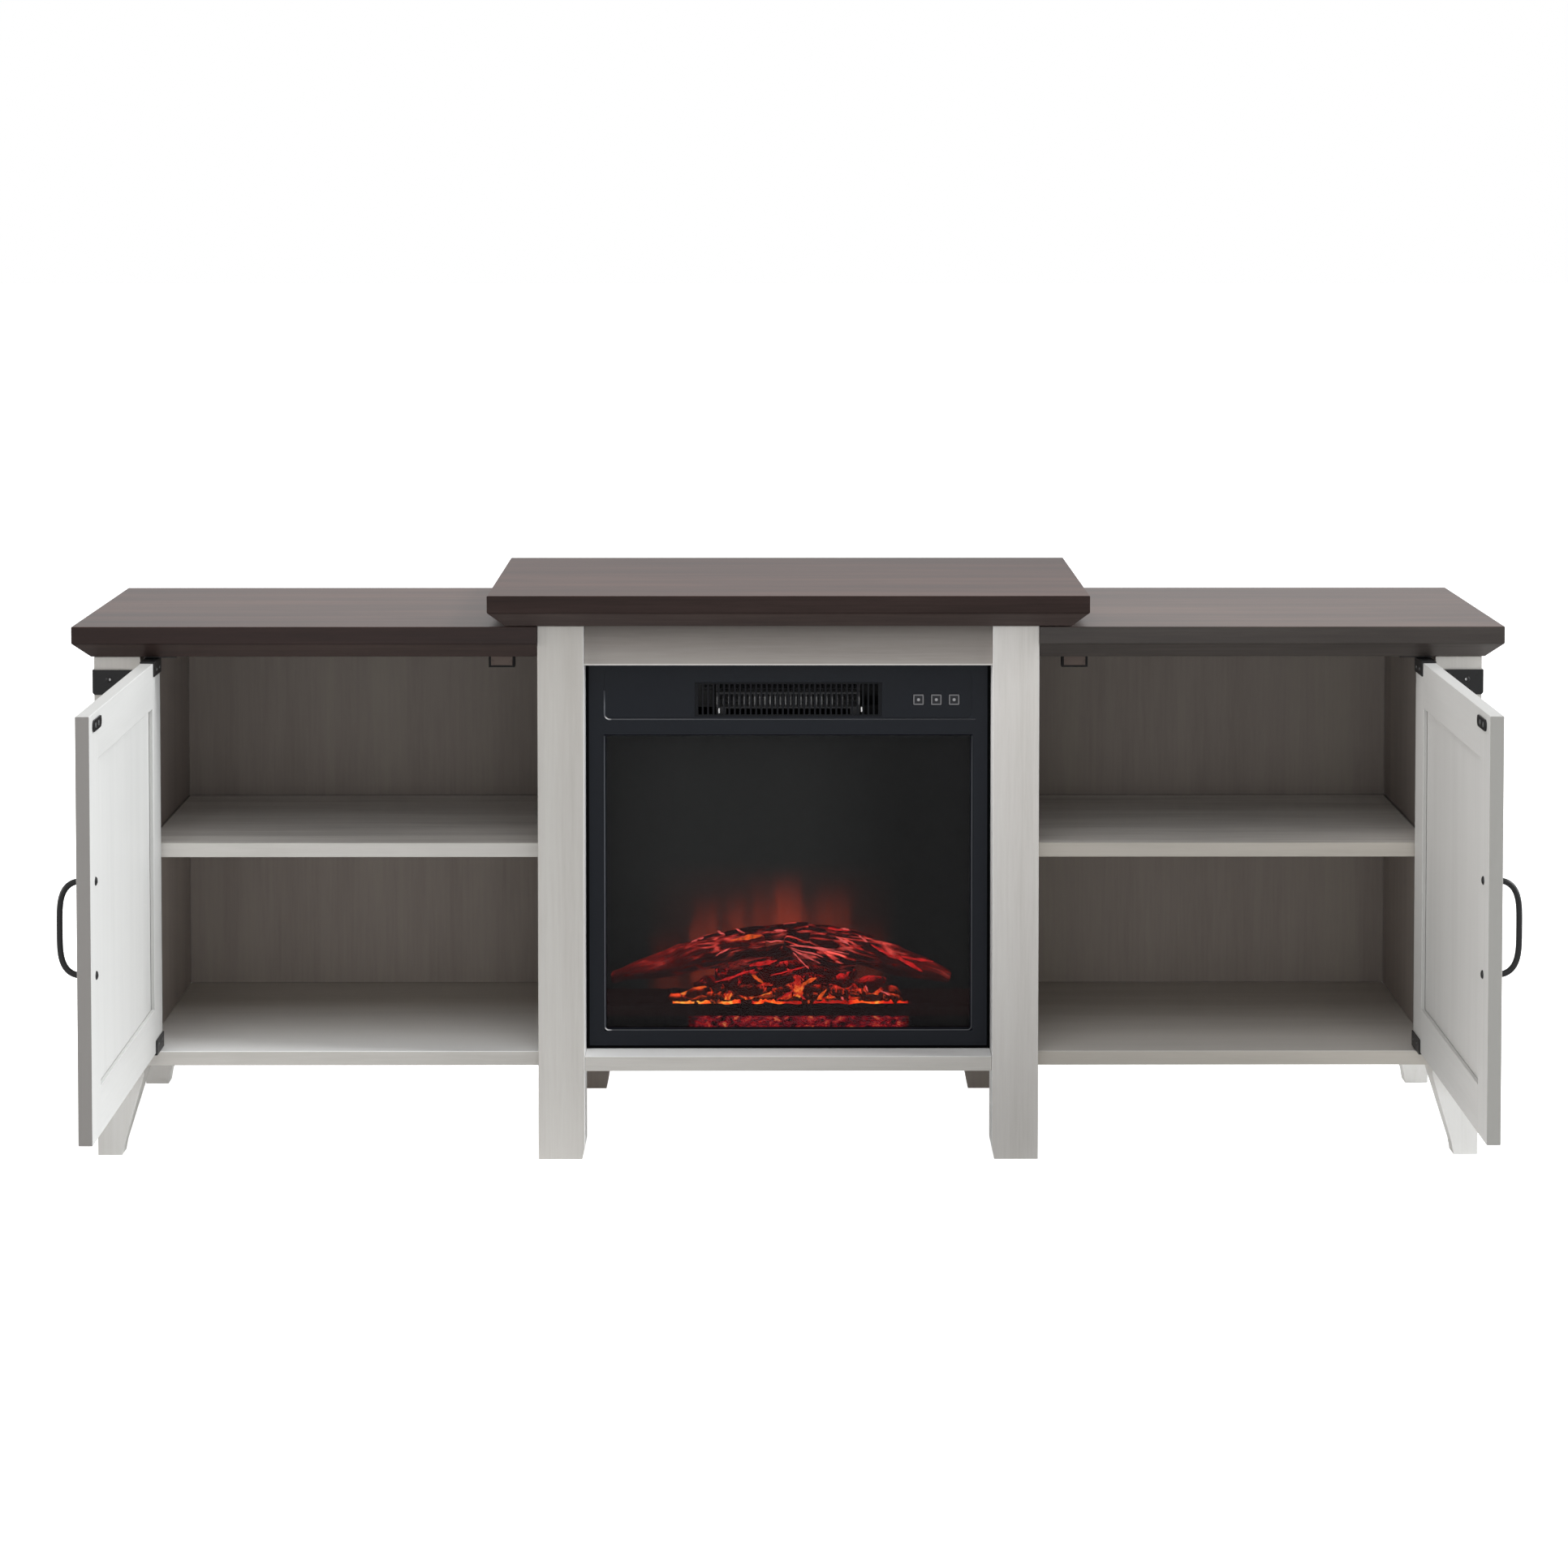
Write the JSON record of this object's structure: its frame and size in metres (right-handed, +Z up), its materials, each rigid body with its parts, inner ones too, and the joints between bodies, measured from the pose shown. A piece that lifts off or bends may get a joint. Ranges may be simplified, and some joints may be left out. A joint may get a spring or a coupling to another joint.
{
  "type": "fireplace tv stand",
  "caption": "Low television stand with a raised centre bay for an electric fireplace between two door cabinets, on straight and tapered legs, with dark tops over a whitewashed wood body.",
  "frame": {"origin": "centre of the bounding box of the stand with both doors open, on the floor", "axes": "+X to the right along the stand, +Y to the back, +Z up"},
  "size_m": [1.752, 0.8516, 0.6988],
  "materials": {
    "whitewashed_wood": "whitewashed wood grain, satin",
    "dark_wood": "dark taupe wood grain, satin",
    "inner_wood": "grey wood grain, matt",
    "black_metal": "matt black",
    "black_plastic": "matt black",
    "dark_steel": "matt black, sheet steel",
    "bright_metal": "bright rolled",
    "pane": "clear, tinted",
    "screen": "smoked, half translucent",
    "log_resin": "painted bark, glowing from inside",
    "circuit_board": "green lacquer"
  },
  "bodies": {
    "stand": {"front_outer_leg_left": "whitewashed_wood", "rear_outer_leg_left": "whitewashed_wood", "front_centre_leg_left": "whitewashed_wood", "rear_centre_leg_left": "whitewashed_wood", "side_panel_left": "whitewashed_wood", "cabinet_floor_left": "whitewashed_wood", "shelf_left": "whitewashed_wood", "divider_left": "inner_wood", "back_panel_left": "inner_wood", "left_top_hinge_socket": "black_metal", "left_bottom_hinge_socket": "black_metal", "left_corner_strap": "black_metal", "left_magnetic_catch": "black_plastic", "left_top": "dark_wood", "front_outer_leg_right": "whitewashed_wood", "rear_outer_leg_right": "whitewashed_wood", "front_centre_leg_right": "whitewashed_wood", "rear_centre_leg_right": "whitewashed_wood", "side_panel_right": "whitewashed_wood", "cabinet_floor_right": "whitewashed_wood", "shelf_right": "whitewashed_wood", "divider_right": "inner_wood", "back_panel_right": "inner_wood", "right_top_hinge_socket": "black_metal", "right_bottom_hinge_socket": "black_metal", "right_corner_strap": "black_metal", "right_magnetic_catch": "black_plastic", "right_top": "dark_wood", "centre_top": "dark_wood", "centre_floor": "whitewashed_wood", "apron": "whitewashed_wood", "rear_rail": "inner_wood", "fireplace_fascia": "black_plastic", "fireplace_glass": "pane", "vent_grille": "black_plastic", "control_board": "circuit_board", "fireplace_housing": "dark_steel", "cord_gland": "black_plastic", "heater_element": "bright_metal", "blower_motor": "dark_steel", "rotor_motor": "dark_steel", "flame_screen": "screen", "log_set": "log_resin"},
    "left_door": {"left_door_frame": "whitewashed_wood", "left_door_panel": "whitewashed_wood", "left_door_handle": "black_metal", "left_strike_plate": "black_metal", "left_top_hinge_bracket": "black_metal", "left_bottom_hinge_bracket": "black_metal"},
    "right_door": {"right_door_frame": "whitewashed_wood", "right_door_panel": "whitewashed_wood", "right_door_handle": "black_metal", "right_strike_plate": "black_metal", "right_top_hinge_bracket": "black_metal", "right_bottom_hinge_bracket": "black_metal"},
    "button_1": {"button_1": "black_plastic"},
    "button_2": {"button_2": "black_plastic"},
    "button_3": {"button_3": "black_plastic"},
    "blower_wheel": {"blower_wheel": "dark_steel"},
    "flame_rotor": {"flame_rotor": "bright_metal"}
  },
  "joints": [
    {"name": "left_door_hinge", "type": "hinge", "parent": "stand", "child": "left_door", "pos_m": [-0.78261, 0.04695, 0.3747], "axis": [0, 0, -1], "range_deg": [-90, 10]},
    {"name": "right_door_hinge", "type": "hinge", "parent": "stand", "child": "right_door", "pos_m": [0.78261, 0.04695, 0.3747], "axis": [0, 0, 1], "range_deg": [-90, 10]},
    {"name": "button_1_press", "type": "slide", "parent": "stand", "child": "button_1", "axis": [0, 1, 0], "range_m": [0, 0.0015], "stiffness_N_per_m": 300},
    {"name": "button_2_press", "type": "slide", "parent": "stand", "child": "button_2", "axis": [0, 1, 0], "range_m": [0, 0.0015], "stiffness_N_per_m": 300},
    {"name": "button_3_press", "type": "slide", "parent": "stand", "child": "button_3", "axis": [0, 1, 0], "range_m": [0, 0.0015], "stiffness_N_per_m": 300},
    {"name": "blower_spin", "type": "hinge", "parent": "stand", "child": "blower_wheel", "pos_m": [0, 0.13975, 0.566], "axis": [1, 0, 0], "continuous": true},
    {"name": "flame_rotor_spin", "type": "hinge", "parent": "stand", "child": "flame_rotor", "pos_m": [0, 0.18575, 0.186], "axis": [1, 0, 0], "continuous": true}
  ]
}
